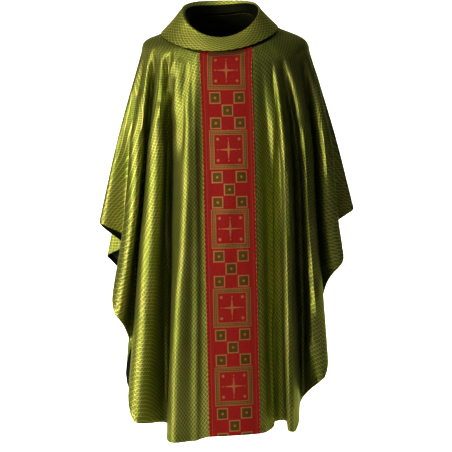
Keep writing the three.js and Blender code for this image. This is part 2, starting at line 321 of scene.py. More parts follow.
def fold_line(fold):
    """Points down one fold, one for each row of the grid, with close rows where the hem is turned."""
    knots = fold_knots(fold)
    knot_share = 1 / (len(knots) - 1)
    seat_rows = np.concatenate([
        np.arange(ROWS_TO_COLLAR_EDGE) / ROWS_TO_COLLAR_EDGE,
        1 + np.arange(ROWS_TO_SHOULDER) / ROWS_TO_SHOULDER,
    ])
    samples = spline(knots, np.linspace(2 * knot_share, 1, CURVE_SAMPLES))
    lengths = np.concatenate([[0], np.cumsum(np.linalg.norm(np.diff(samples, axis=0), axis=1))])
    to_turn = lengths[-1] - HEM_TURN
    wanted = np.concatenate([
        np.linspace(0, to_turn, ROWS_TO_HEM, endpoint=False),
        np.linspace(to_turn, lengths[-1], ROWS_OF_HEM + 1),
    ])
    hanging = np.stack([np.interp(wanted, lengths, samples[:, axis]) for axis in range(3)], axis=1)
    return np.concatenate([spline(knots, seat_rows * knot_share), hanging])


fold_lines = np.stack([fold_line(fold) for fold in FOLDS], axis=1)
print("rows down the cloth:", len(fold_lines))

# %% [markdown]
# ## The cloth between the folds
# Cloth can't have a corner, so between a ridge and the next valley it runs in a soft S. A subdivision
# modifier would round the corners too, but it would also shrink the ridges. Each ring is therefore a
# chain of curves whose handles point along the line between the two neighbours. Long handles give the
# round, slightly overhanging folds of a heavy lined brocade.

# %% Rounded rings
KINDS = [next((kind for kind in ("ridge", "valley") if kind in fold["name"]), "edge") for fold in FOLDS]
RINGS_FREE_BY = 4
ROW_SHARES = np.concatenate([
    np.zeros(ROWS_TO_COLLAR_EDGE + ROWS_TO_SHOULDER),
    np.arange(ROWS_TO_HEM) / ROWS_TO_HEM,
    np.ones(ROWS_OF_HEM + 1),
])
fold_roundness = np.array([ROUNDNESS[kind] for kind in KINDS])[None, :, None]
widest_curve = np.array([WIDEST_CURVE[kind] for kind in KINDS])[None, :, None]


def rounded_rings(corners):
    """corners[row, fold] to points[row, column], rounded as seen from above.

    Heights are rounded near the neck only. Lower down they run straight from fold to fold, which
    keeps the corners of the hem.
    """
    ahead = np.roll(corners, -1, axis=1)
    heading = ahead - np.roll(corners, 1, axis=1)
    heading /= np.linalg.norm(heading[:, :, :2], axis=2, keepdims=True)
    reach = np.linalg.norm((ahead - corners)[:, :, :2], axis=2, keepdims=True)
    leave = corners + heading * np.minimum(reach * fold_roundness, widest_curve)
    next_roundness, next_widest = (np.roll(part, -1, axis=1) for part in (fold_roundness, widest_curve))
    next_handle = np.minimum(reach * next_roundness, next_widest)
    arrive = ahead - np.roll(heading, -1, axis=1) * next_handle
    third = (ahead - corners)[:, :, 2] / 3
    freedom = np.clip(ROW_SHARES * RINGS_FREE_BY, 0, 1)[:, None]
    leave[:, :, 2] += (corners[:, :, 2] + third - leave[:, :, 2]) * freedom
    arrive[:, :, 2] += (ahead[:, :, 2] - third - arrive[:, :, 2]) * freedom
    share = (np.arange(COLUMNS_PER_SIDE) / COLUMNS_PER_SIDE)[None, None, :, None]
    rest = 1 - share
    corners, leave, arrive, ahead = (part[:, :, None, :] for part in (corners, leave, arrive, ahead))
    ring = rest**3 * corners + 3 * rest**2 * share * leave + 3 * rest * share**2 * arrive + share**3 * ahead
    return ring.reshape(len(ring), -1, 3)


def grid_normals(grid):
    """Outward normals of a grid that closes on itself from column to column."""
    down = np.gradient(grid, axis=0)
    across = np.roll(grid, -1, axis=1) - np.roll(grid, 1, axis=1)
    normals = np.cross(down, across)
    return normals / np.linalg.norm(normals, axis=2, keepdims=True)


cloth_grid = rounded_rings(fold_lines)
CLOTH_COLUMNS = cloth_grid.shape[1]
print("cloth grid:", cloth_grid.shape[:2])

# %% [markdown]
# ## Lesser creases
# Between the great folds the brocade has lesser creases: slanting ones that run in from the collar
# over the chest, and long faint ones down the faces of the folds. Each row sets one, as a soft
# ridge or trough, along a line seen from in front: its width, its height, and its places from the top
# down, each as x and z. A sculpt brush or a noise texture could make creases too, but a brush leaves no
# readable record, and noise gives an even crumple that no hanging cloth has. Those of the back can't be
# seen in the photograph and are set in the same way.

# %% Creases of the front, in millimetres
CREASE = "name width height line".split()
FRONT_CREASES = table(CREASE, [
    ("side valley at the shoulder", 8, -5, [(-238, -45), (-245, -104), (-256, -191)]),
    ("side ridge at the shoulder", 11, 5, [(-218, -48), (-226, -104), (-237, -191), (-251, -300)]),
    ("gap beside it", 9, -8, [(-206, -60), (-216, -130), (-226, -230), (-236, -330)]),
    ("ridge from the collar", 8, 8, [(-199, -42), (-182, -75), (-186, -162), (-203, -290)]),
    ("hollow under it", 8, -9, [(-158, -50), (-168, -115), (-182, -190)]),
    ("slanting ridge", 9, 9, [(-132, -62), (-157, -124), (-171, -177), (-183, -225)]),
    ("slanting hollow", 10, -8, [(-145, -112), (-158, -185), (-172, -250), (-180, -330)]),
    ("chest ridge", 9, 6, [(-129, -92), (-136, -150), (-137, -240), (-148, -380)]),
    ("chest swell left of the band", 36, 9, [(-146, -15), (-138, -80), (-138, -150), (-146, -270)]),
    ("chest hollow", 8, -7, [(-110, -70), (-122, -191), (-123, -260), (-129, -380)]),
    ("long ridge by the band", 17, 11, [
        (-97, -110), (-107, -222), (-107, -420), (-114, -550), (-128, -820), (-146, -1120),
    ]),
    ("filled hollow by the band", 11, 10, [
        (-88, -50), (-88, -260), (-87, -420), (-86, -760), (-89, -1300),
    ]),
    ("hollow right of the band", 15, -8, [
        (110, -130), (121, -293), (127, -539), (131, -860), (138, -1110),
    ]),
    ("dark hollow by the second right ridge", 15, -20, [
        (138, -200), (146, -390), (150, -600), (152, -850), (158, -1120), (160, -1400),
    ]),
    ("first right ridge", 6, 5, [(136, -150), (138, -250), (142, -386), (144, -560), (146, -900)]),
    ("second right ridge", 9, 12, [
        (133, -100), (149, -196), (161, -280), (171, -396),
        (175, -539), (179, -850), (187, -1120), (192, -1340),
    ]),
    ("third right ridge", 8, 9, [
        (172, -130), (198, -215), (219, -275), (231, -367), (241, -539), (254, -850), (262, -1100),
    ]),
    ("right shoulder ridge", 8, 5, [(262, -90), (272, -180), (286, -300), (300, -480)]),
    ("dark hollow beside it", 9, -5, [
        (232, -90), (242, -206), (253, -300), (257, -377), (270, -560), (280, -760),
    ]),
    ("hollow beyond the second right ridge", 9, -8, [
        (178, -150), (196, -260), (206, -420), (212, -600), (214, -850),
    ]),
    ("low ridge at the right", 9, 10, [(262, -700), (258, -860), (246, -1040)]),
    ("low ridge by the band", 12, 8, [(-128, -620), (-140, -860), (-150, -1140), (-154, -1300)]),
    ("low hollow beside it", 11, -7, [(-166, -560), (-176, -820), (-184, -1120)]),
    ("faint line on the left skirt", 14, 2.5, [(-238, -520), (-246, -700), (-236, -900)]),
    ("faint line on the left fold", 10, -2, [(-296, -480), (-312, -600), (-318, -740)]),
    ("faint swell on the band", 24, 1.6, [(-20, -260), (6, -480), (-6, -760)]),
    ("faint dip on the band", 22, -1.6, [(40, -420), (26, -640), (44, -980)]),
])

# %% Creases of the back, in millimetres
BACK_CREASES = table(CREASE, [
    ("right of the neck", 10, 6, [(120, -20), (150, -150), (176, -330)]),
    ("hollow below it", 9, -5, [(96, -30), (118, -170), (136, -360)]),
    ("long one by the middle", 14, 5, [(40, -60), (48, -420), (30, -900)]),
    ("left slanting ridge", 10, 7, [(-70, -40), (-104, -140), (-130, -260)]),
    ("left slanting hollow", 10, -6, [(-110, -70), (-138, -200), (-170, -380)]),
    ("left long hollow", 13, -5, [(-40, -200), (-70, -560), (-90, -980)]),
    ("right long ridge", 12, 4, [(150, -420), (160, -760), (150, -1080)]),
    ("left shoulder ridge", 10, 5, [(-190, -60), (-222, -190), (-250, -350)]),
    ("right shoulder ridge", 10, 5, [(196, -60), (214, -200), (246, -420)]),
])
print(len(FRONT_CREASES), "creases in front,", len(BACK_CREASES), "behind")

# %% Height of the creases over the grid
SOFT_END = 0.22


def crease_height(grid, creases):
    """The sum of the creases at each point, with both ends of every crease faded out."""
    height = np.zeros(grid.shape[:2])
    for crease in creases:
        x, z = np.array(crease["line"], float).T
        middle = np.interp(-grid[:, :, 2], -z, x)
        share = (z[0] - grid[:, :, 2]) / (z[0] - z[-1])
        fade = np.clip(np.minimum(share, 1 - share) / SOFT_END, 0, 1)
        bell = np.exp(-(((grid[:, :, 0] - middle) / crease["width"]) ** 2))
        height += crease["height"] * bell * fade**2 * (3 - 2 * fade)
    return height


# %% [markdown]
# ## Pushing the creases into the cloth
# A crease stands off the cloth along the cloth's own normal. On the sharp back of a fold the normals
# fan out, and neighbours pushed along them could cross. So each normal is first averaged with those of
# a few columns on either side. The row where the hem is stitched is drawn in a little as well.

# %% Creased grid
HEM_STITCH_DEPTH = 0.9
PUSH_REACH = 4
FRONT_COLUMNS = (0, (len(FRONT_FOLDS) - 1) * COLUMNS_PER_SIDE)
BACK_COLUMNS = (FRONT_COLUMNS[1], CLOTH_COLUMNS)
LAST_ROW = len(cloth_grid) - 1
front_part, back_part = slice(1, FRONT_COLUMNS[1]), slice(BACK_COLUMNS[0] + 1, CLOTH_COLUMNS)
relief = np.zeros(cloth_grid.shape[:2])
relief[:, front_part] = crease_height(cloth_grid[:, front_part], FRONT_CREASES)
relief[:, back_part] = crease_height(cloth_grid[:, back_part], BACK_CREASES)
relief[LAST_ROW - ROWS_OF_HEM] -= HEM_STITCH_DEPTH
cloth_normals = grid_normals(cloth_grid)
push = sum(np.roll(cloth_normals, step, axis=1) for step in range(-PUSH_REACH, PUSH_REACH + 1))
push /= np.linalg.norm(push, axis=2, keepdims=True)
cloth_grid += push * relief[:, :, None]
cloth_normals = grid_normals(cloth_grid)
print("creases from", relief.min().round(1), "to", relief.max().round(1), "mm")

# %% [markdown]
# ## The flat cut
# A brocade shows its weave turning with the grain of the cut piece, so the pattern has to be laid on
# the flat cut and not on the hanging form. Unrolled, a column lies at its length from the neck, and
# turns by the width of the cloth beside it over that length, as the ribs of a fan do. Blender's own
# unwrap would find some cut too, but not one with the grain straight down the middle. The small creases
# would make the rows waver, so the angles are smoothed down the cloth and the lengths across it.

# %% Cut laid flat, from millimetres to metres
NECK_RADIUS = 85
CUT_SMOOTHING = 50


def arc_lengths(grid, axis):
    """Length along the cloth from the first row or column, at each point."""
    steps = np.linalg.norm(np.diff(grid, axis=axis), axis=2)
    start = np.zeros_like(np.take(steps, [0], axis=axis))
    return np.concatenate([start, np.cumsum(steps, axis=axis)], axis=axis)


def flat_cut(first, last):
    """The columns from first to last laid flat, in metres, with the middle one straight down."""
    columns = np.arange(first, last + 1) % CLOTH_COLUMNS
    grid = cloth_grid[:, columns]
    radius = arc_lengths(grid, 0) + NECK_RADIUS
    along = np.gradient(grid, axis=0)
    along /= np.linalg.norm(along, axis=2, keepdims=True)
    step = np.diff(grid, axis=1)
    slip = np.sum(step * along[:, :-1], axis=2, keepdims=True) * along[:, :-1]
    turn = np.linalg.norm(step - slip, axis=2) / (radius[:, :-1] + radius[:, 1:]) * 2
    angle = np.concatenate([np.zeros((len(grid), 1)), np.cumsum(turn, axis=1)], axis=1)
    angle -= angle[:, [angle.shape[1] // 2]]
    for _ in range(CUT_SMOOTHING):
        angle[1:-1] = (angle[:-2] + 2 * angle[1:-1] + angle[2:]) / 4
        radius[:, 1:-1] = (radius[:, :-2] + 2 * radius[:, 1:-1] + radius[:, 2:]) / 4
    flat = np.stack([radius * np.sin(angle), -radius * np.cos(angle)], axis=2) * MM
    area = 0.5 * np.sum(turn[:-1] * np.diff(radius**2, axis=0)[:, :-1]) * MM**2
    spans = np.ptp(flat.reshape(-1, 2), axis=0)
    print("cut spans", spans.round(3), "m, area", round(area, 3), "square metres")
    return flat


front_flat = flat_cut(*FRONT_COLUMNS)
back_flat = flat_cut(*BACK_COLUMNS)

# %% [markdown]
# ## Cloth with a thickness
# Brocade, lining and band are each a sheet with two sides and a cut edge. A Solidify modifier could
# thicken a single surface, but here both sides come from the same grid, moved along its normals. Cloths
# that lie on each other then keep exact distances and never cut through one another.

# %% Faces of a closed wall


def wall_faces(rows, columns, wraps):
    """Quads between the points of an outer grid and those of an inner grid, which follow them."""
    spans = columns if wraps else columns - 1
    index = np.arange(2 * rows * columns).reshape(2, rows, columns)
    outside, inside = np.concatenate([index, index[:, :, :1]], axis=2)
    here, after = slice(0, spans), slice(1, spans + 1)
    strips = [
        (outside[:-1, here], outside[1:, here], outside[1:, after], outside[:-1, after]),
        (inside[:-1, here], inside[:-1, after], inside[1:, after], inside[1:, here]),
        (outside[0, here], outside[0, after], inside[0, after], inside[0, here]),
        (outside[-1, after], outside[-1, here], inside[-1, here], inside[-1, after]),
    ]
    if not wraps:
        end = columns - 1
        strips += [
            (outside[1:, 0], outside[:-1, 0], inside[:-1, 0], inside[1:, 0]),
            (outside[:-1, end], outside[1:, end], inside[1:, end], inside[:-1, end]),
        ]
    return np.concatenate([np.stack(corners, axis=-1).reshape(-1, 4) for corners in strips])


def carry_past_seam(coordinates, corner, columns):
    """On a ring the last face runs on past the first column, so its girth is added there."""
    column = corner.reshape(-1, 4) % columns
    crosses = np.ptp(column, axis=1) > columns // 2
    late = np.repeat(crosses, 4) & (column.ravel() < columns // 2)
    coordinates[late, 0] += coordinates[late, 2]


# %% A wall as an object
SHARP_EDGE = math.radians(50)


def wall_object(name, outer, inner, flat, wraps=False):
    """A closed wall between two grids in millimetres, with the flat cut as its UV map in metres."""
    rows, columns = outer.shape[:2]
    points = np.concatenate([outer.reshape(-1, 3), inner.reshape(-1, 3)]) * MM
    mesh = bpy.data.meshes.new(name)
    mesh.from_pydata(points.tolist(), [], wall_faces(rows, columns, wraps).tolist())
    corner = np.zeros(len(mesh.loops), int)
    mesh.loops.foreach_get("vertex_index", corner)
    coordinates = np.tile(flat.reshape(-1, flat.shape[-1]), (2, 1))[corner]
    if wraps:
        carry_past_seam(coordinates, corner, columns)
    inner_side = mesh.attributes.new("inner side", "FLOAT", "POINT")
    inner_side.data.foreach_set("value", np.repeat([0.0, 1.0], rows * columns))
    mesh.uv_layers.new(name="flat cut").data.foreach_set("uv", coordinates[:, :2].ravel())
    mesh.shade_smooth()
    mesh.set_sharp_from_angle(angle=SHARP_EDGE)
    mesh.validate()
    piece = bpy.data.objects.new(name, mesh)
    bpy.context.collection.objects.link(piece)
    print(name, "has", len(mesh.polygons), "faces")
    return piece


# %% A wall on the cloth grid


def cloth_face(columns, rows, offset):
    """Part of the grid, moved outwards by a distance in millimetres."""
    chosen = np.arange(columns[0], columns[1] + 1) % CLOTH_COLUMNS
    return (cloth_grid + cloth_normals * offset)[rows[0] : rows[1] + 1, chosen]


def cloth_wall(name, columns, rows, near, far, flat):
    outer = cloth_face(columns, rows, far)
    inner = cloth_face(columns, rows, near)
    return wall_object(name, outer, inner, flat[rows[0] : rows[1] + 1])


# %% [markdown]
# ## Front and back panel
# The two halves of the cut, each a wall of heavy brocade, are sewn together over the shoulders. A cloth
# simulation would drape them, but never into the folds of one given garment, and it would have to run
# again after every change. Folds placed one by one fall where they should, and stay there.

# %% Panels
ALL_ROWS = (0, LAST_ROW)
front_panel = cloth_wall("chasuble_front", FRONT_COLUMNS, ALL_ROWS, -CLOTH / 2, CLOTH / 2, front_flat)
back_panel = cloth_wall("chasuble_back", BACK_COLUMNS, ALL_ROWS, -CLOTH / 2, CLOTH / 2, back_flat)

# %% [markdown]
# ## Linings
# Dark cloth shows inside the side folds and at the lower left. A lining is cut like its panel, and
# stops short of the edge, where the brocade is turned up in a narrow hem. Here it is a second wall on
# the same grid, one seam gap further in, and starts below the shoulder, where it can no longer be seen.

# %% Lining pieces
LINING_FIRST_SHARE = 0.09
OVER_CLOTH = CLOTH / 2 + SEAM_GAP
lining_top = ROWS_TO_COLLAR_EDGE + ROWS_TO_SHOULDER + round(LINING_FIRST_SHARE * ROWS_TO_HEM)
lining_rows = (lining_top, LAST_ROW - ROWS_OF_HEM)
lining_faces = (-OVER_CLOTH - LINING_CLOTH, -OVER_CLOTH)
front_lining = cloth_wall("lining_front", FRONT_COLUMNS, lining_rows, *lining_faces, front_flat)
back_lining = cloth_wall("lining_back", BACK_COLUMNS, lining_rows, *lining_faces, back_flat)

# %% [markdown]
# ## The front orphrey
# A woven band laid on the middle of the front. It could be a flat strip shrink-wrapped on the panel, but
# the grid already has a pair of fold lines at its two edges, so it takes those columns, a little further
# out. Its figures run straight down it, so its own coordinates are the distances across and down.

# %% Band
BAND_ROWS_UNDER_COLLAR = 2
band_first = next(index for index, fold in enumerate(FOLDS) if fold["name"] == "band left edge")
band_columns = (band_first * COLUMNS_PER_SIDE, (band_first + 1) * COLUMNS_PER_SIDE)
band_rows = (ROWS_TO_COLLAR_EDGE - BAND_ROWS_UNDER_COLLAR, LAST_ROW)
band_grid = cloth_grid[:, band_columns[0] : band_columns[1] + 1]
band_across = arc_lengths(band_grid, 1)
band_across -= band_across[:, -1:] / 2
middle_down = arc_lengths(band_grid, 0)[:, [COLUMNS_PER_SIDE // 2]]
band_down = np.repeat(middle_down, band_grid.shape[1], axis=1)
band_flat = np.stack([band_across, band_down], axis=2) * MM
band_faces = (OVER_CLOTH, OVER_CLOTH + BAND_CLOTH)
orphrey = cloth_wall("orphrey_front", band_columns, band_rows, *band_faces, band_flat)
BAND_LENGTH = float(band_flat[-1, 0, 1] - band_flat[band_rows[0], 0, 1])
print("band is", round(BAND_LENGTH, 3), "m long")

# %% [markdown]
# ## Picot edging
# Both edges of the band carry a row of small gold loops. Each could be a bent thread, but at this size
# a loop reads as one flattened bead, which is far lighter. So one bead is modelled, and its copies are
# set along the two edge lines, each turned to the cloth under it, and joined in one piece.

# %% One bead, in millimetres
LOOP_PITCH = 12.5
LOOP_HALF_LENGTH = 4.2
LOOP_HALF_WIDTH = 2.3
LOOP_HALF_HEIGHT = 1.1
LOOP_INSET_SHARE = 0.4
LOOP_SIDES = 8
LOOP_RINGS = 5

bpy.ops.object.select_all(action="DESELECT")
bpy.ops.mesh.primitive_uv_sphere_add(
    segments=LOOP_SIDES, ring_count=LOOP_RINGS, radius=1, calc_uvs=False
)
bead = bpy.context.object
bead.scale = (LOOP_HALF_WIDTH * MM, LOOP_HALF_HEIGHT * MM, LOOP_HALF_LENGTH * MM)
bpy.ops.object.transform_apply(scale=True)
bpy.ops.object.shade_smooth()
bead.select_set(False)
print("one bead has", len(bead.data.polygons), "faces")

# %% Places of the beads


def edge_places(column, toward):
    """Where the beads of one edge sit: across in X, out of the cloth in Y and along the edge in Z."""
    rows = slice(band_rows[0], None)
    line = (cloth_grid + cloth_normals * (OVER_CLOTH + BAND_CLOTH))[rows, column]
    normals = cloth_normals[rows, column]
    beside = cloth_grid[rows, column + toward] - cloth_grid[rows, column]
    lengths = np.concatenate([[0], np.cumsum(np.linalg.norm(np.diff(line, axis=0), axis=1))])
    places = []
    for wanted in np.arange(LOOP_PITCH / 2, lengths[-1] - LOOP_HALF_LENGTH, LOOP_PITCH):
        ahead = min(int(np.searchsorted(lengths, wanted)), len(line) - 1)
        share = (wanted - lengths[ahead - 1]) / (lengths[ahead] - lengths[ahead - 1])
        inset = Vector(beside[ahead]).normalized() * LOOP_INSET_SHARE * LOOP_HALF_WIDTH
        centre = Vector(line[ahead - 1] + (line[ahead] - line[ahead - 1]) * share) + inset
        along = Vector(line[ahead] - line[ahead - 1]).normalized()
        outward = Vector(normals[ahead]).normalized()
        place = Matrix((outward.cross(along), outward, along)).transposed().to_4x4()
        place.translation = centre * MM
        places.append(place)
    return places


bead_places = edge_places(band_columns[0], 1) + edge_places(band_columns[1], -1)
print(len(bead_places), "beads")

# %% Copies joined
for place in bead_places:
    copy = bead.copy()
    copy.data = bead.data.copy()
    copy.data.transform(place)
    bpy.context.collection.objects.link(copy)
    copy.select_set(True)
    bpy.context.view_layer.objects.active = copy
bpy.ops.object.join()
picot = bpy.context.object
picot.name = "picot_edging"
picot.data.name = "picot_edging"
bpy.data.objects.remove(bead)
print("picot edging has", len(picot.data.polygons), "faces")

# %% [markdown]
# ## The roll collar
# A deep band of brocade that stands up at the neck and turns over outwards. A flat strip bent round
# would have to stretch where it turns over, so the collar is built from rings instead: each is one of
# its girths, from the neck seam up the stand, over the rim and down to the lower edge, and a soft curve
# joins them.

# %% Collar
COLLAR_COLUMNS = 180
COLLAR_STEPS = 44
RIM_GIRTH = 0.66
COLLAR_RINGS = table(RING, [
    (-15, 93, -78, 73, -34, 50, 71, 6),
    (-15, 99, -86, 76, -26, 61, 86, 4),
    (-15, 109, -94, 83, -16, 71, 103, 2),
    (-16, 115, -99, 89, -12, 74, 110, 2),
    (-17, 121, -106, 95, -17, 67, 103, 3),
    (-18, 145, -130, 111, -35, 42, 72, 6),
    (-19, 173, -152, 128, -53, 16, 40, 9),
])

collar_angles = np.arange(COLLAR_COLUMNS) * 360 / COLLAR_COLUMNS
collar_lines = [
    spline([ring_point(ring, angle) for ring in COLLAR_RINGS], np.linspace(0, 1, COLLAR_STEPS + 1))
    for angle in collar_angles
]
collar_grid = np.stack(collar_lines, axis=1)
half_wall = grid_normals(collar_grid) * COLLAR_CLOTH / 2
collar_down = arc_lengths(collar_grid, 0) * MM
collar_around = np.repeat(collar_angles[None] / 360 * RIM_GIRTH, COLLAR_STEPS + 1, axis=0)
collar_flat = np.stack([collar_around, collar_down, np.full_like(collar_around, RIM_GIRTH)], axis=2)
collar = wall_object("roll_collar", collar_grid + half_wall, collar_grid - half_wall, collar_flat, wraps=True)

# %% [markdown]
# ## Materials
# Four finishes: a green brocade with a gold lattice, a red woven band with gold figures, a dark lining
# and gold thread. Painted or photographed images could carry the figures, but they blur when seen from
# near. Here every figure is worked out from the flat coordinates, which keeps it sharp at any distance.

# %% Node helpers
TONE_SPREAD = (0.35, 0.65)


class Graph:
    """A few short ways to add nodes to a tree and link them."""

    def __init__(self, tree):
        self.tree = tree

    def node(self, kind, **settings):
        node = self.tree.nodes.new(kind)
        for key, value in settings.items():
            setattr(node, key, value)
        return node

    def feed(self, socket, value):
        if isinstance(value, bpy.types.NodeSocket):
            self.tree.links.new(value, socket)
        else:
            socket.default_value = value

    def split(self, vector):
        node = self.node("ShaderNodeSeparateXYZ")
        self.feed(node.inputs[0], vector)
        return node.outputs

    def math(self, operation, *values):
        node = self.node("ShaderNodeMath", operation=operation)
        for socket, value in zip(node.inputs, values):
            self.feed(socket, value)
        return node.outputs[0]

    def distance(self, value, place):
        return self.math("ABSOLUTE", self.math("SUBTRACT", value, place))

    def ramp(self, value, low, high, to_low=0.0, to_high=1.0):
        node = self.node("ShaderNodeMapRange", interpolation_type="SMOOTHSTEP")
        parts = {"Value": value, "From Min": low, "From Max": high, "To Min": to_low, "To Max": to_high}
        for name, part in parts.items():
            self.feed(node.inputs[name], part)
        return node.outputs[0]

    def mix(self, share, first, second):
        node = self.node("ShaderNodeMix", data_type="RGBA")
        self.feed(node.inputs[0], share)
        self.feed(node.inputs[6], first)
        self.feed(node.inputs[7], second)
        return node.outputs[2]

    def inside(self, value, limit, soft):
        """1 where value is under limit, falling to 0 over a soft edge."""
        return self.ramp(value, self.math("SUBTRACT", limit, soft), self.math("ADD", limit, soft), 1.0, 0.0)

    def noise(self, vector, scale, detail):
        node = self.node("ShaderNodeTexNoise")
        self.feed(node.inputs["Vector"], vector)
        self.feed(node.inputs["Scale"], scale)
        self.feed(node.inputs["Detail"], detail)
        return node.outputs[0]

    def bump(self, height, distance):
        node = self.node("ShaderNodeBump")
        self.feed(node.inputs["Height"], height)
        node.inputs["Distance"].default_value = distance
        return node.outputs[0]


# %% New node groups
FLOAT, VECTOR = "NodeSocketFloat", "NodeSocketVector"


def new_group(name, inputs, outputs):
    """An empty group with named sockets, and a graph, its given values and its results."""
    group = bpy.data.node_groups.new(name, "ShaderNodeTree")
    group.interface.new_socket("Flat", in_out="INPUT", socket_type=VECTOR)
    for socket_name, value in inputs.items():
        socket = group.interface.new_socket(socket_name, in_out="INPUT", socket_type=FLOAT)
        socket.default_value = value
    for socket_name in outputs:
        group.interface.new_socket(socket_name, in_out="OUTPUT", socket_type=FLOAT)
    graph = Graph(group)
    given = graph.node("NodeGroupInput").outputs
    result = graph.node("NodeGroupOutput").inputs
    return group, graph, given, result


# %% [markdown]
# ## Gold lattice and weave
# The brocade is woven with gold threads that slant in two directions, with a small gold figure in each
# diamond between them. Two sawtooth waves, one along each slant, hold all of this: a thread runs where
# either wave turns, and a figure stands where both are in mid course. Panels and collar share the
# lattice, each with a cell of its own size. All the cloths share the fine weave under it.

# %% Gold lattice
THREAD_SOFTNESS = 0.06
FIGURE_REACH = (0.1, 0.2)
FIGURE_STRENGTH = 0.55


def lattice_group():
    """Slanting gold threads in two directions, with a small figure in each diamond."""
    inputs = {"Cell Width": 0.0105, "Cell Height": 0.014, "Line": 0.22}
    group, g, given, result = new_group("gold lattice", inputs, ["Gold", "Height"])
    flat = g.split(given["Flat"])
    across = g.math("DIVIDE", flat[0], given["Cell Width"])
    down = g.math("DIVIDE", flat[1], given["Cell Height"])
    slants = (g.math("ADD", across, down), g.math("SUBTRACT", across, down))
    waves = [g.distance(g.math("FRACT", slant), 0.5) for slant in slants]
    edge = g.math("SUBTRACT", 0.5, g.math("MULTIPLY", given["Line"], 0.5))
    edge_from = g.math("SUBTRACT", edge, THREAD_SOFTNESS)
    edge_to = g.math("ADD", edge, THREAD_SOFTNESS)
    threads = g.ramp(g.math("MAXIMUM", *waves), edge_from, edge_to)
    figure = g.ramp(g.math("ADD", *waves), *FIGURE_REACH, 1.0, 0.0)
    gold = g.math("MAXIMUM", threads, g.math("MULTIPLY", figure, FIGURE_STRENGTH))
    g.feed(result["Gold"], gold)
    g.feed(result["Height"], gold)
    return group


lattice = lattice_group()
print("shared effect:", lattice.name)

# %% Thread weave
TONE_SCALE = 260.0
TONE_DETAIL = 3.0


def weave_group():
    """Fine threads over and under, in both directions."""
    group, g, given, result = new_group("thread weave", {"Thread": 0.0009}, ["Height", "Tone"])
    flat = g.split(given["Flat"])
    rate = g.math("DIVIDE", math.pi, given["Thread"])
    waves = [g.math("SINE", g.math("MULTIPLY", axis, rate)) for axis in flat[:2]]
    g.feed(result["Height"], g.math("MULTIPLY", *waves))
    g.feed(result["Tone"], g.noise(given["Flat"], TONE_SCALE, TONE_DETAIL))
    return group


weave = weave_group()
print("shared effect:", weave.name)

# %% Start of a cloth material


def cloth_material(name):
    """A new material, its graph, its main shader and the flat coordinates."""
    material = bpy.data.materials.new(name)
    material.use_nodes = True
    graph = Graph(material.node_tree)
    shader = material.node_tree.nodes["Principled BSDF"]
    flat = graph.node("ShaderNodeUVMap", uv_map="flat cut").outputs[0]
    return material, graph, shader, flat


def placed_group(graph, group, flat, **values):
    node = graph.node("ShaderNodeGroup", node_tree=group)
    graph.feed(node.inputs["Flat"], flat)
    for key, value in values.items():
        graph.feed(node.inputs[key.replace("_", " ")], value)
    return node.outputs


# %% [markdown]
# ## Green and gold brocade
# Metal threads make this cloth shine like dull foil, so its shader is nearly all metal, and the green
# and the gold have one roughness: with two, the light of the one fills the dark of the other, and the
# lattice is lost where it should be clearest. A tint at grazing angles keeps the far folds from turning
# grey. The inner side, and the inside of the collar's stand, are painted near black: painted shade where
# the cloth lies in shadow. The collar's greens and golds are those of the panels painted lighter, for the
# light the collar catches.

# %% Brocade
PANEL_CELL = (0.0105, 0.014)
PANEL_GREENS = ((0.115, 0.21, 0.028, 1), (0.185, 0.295, 0.046, 1))
PANEL_GOLDS = ((0.56, 0.49, 0.14, 1), (0.68, 0.54, 0.2, 1))
COLLAR_CELL = (0.0145, 0.0105)
# Painted light: the collar's greens and golds are those of the panels made lighter, for the light the collar
# catches from above.
COLLAR_GREENS_PAINTED_LIGHTER = ((0.24, 0.33, 0.035, 1), (0.31, 0.4, 0.055, 1))
COLLAR_GOLDS_PAINTED_LIGHTER = ((0.92, 0.84, 0.24, 1), (1.0, 0.92, 0.32, 1))
# Painted shade: a near-black colour for the cloth's inner side and the collar's stand, where they lie in
# shadow, and the softness of its edge on the stand, in metres.
PAINTED_SHADE = (0.012, 0.014, 0.006, 1)
PAINTED_SHADE_EDGE = 0.001
PATCH_SCALE = 9.0
PATCH_DETAIL = 2.0
METAL = (0.75, 0.9)
BROCADE_ROUGHNESS = 0.42
BROCADE_RELIEF = 0.00035
WEAVE_SHARE = 0.25
EDGE_TINT = (0.3, 0.32, 0.1, 1)
BROCADE_SHEEN = 0.08
SHEEN_ROUGHNESS = 0.4
SHEEN_TINT = (0.8, 0.9, 0.35, 1)


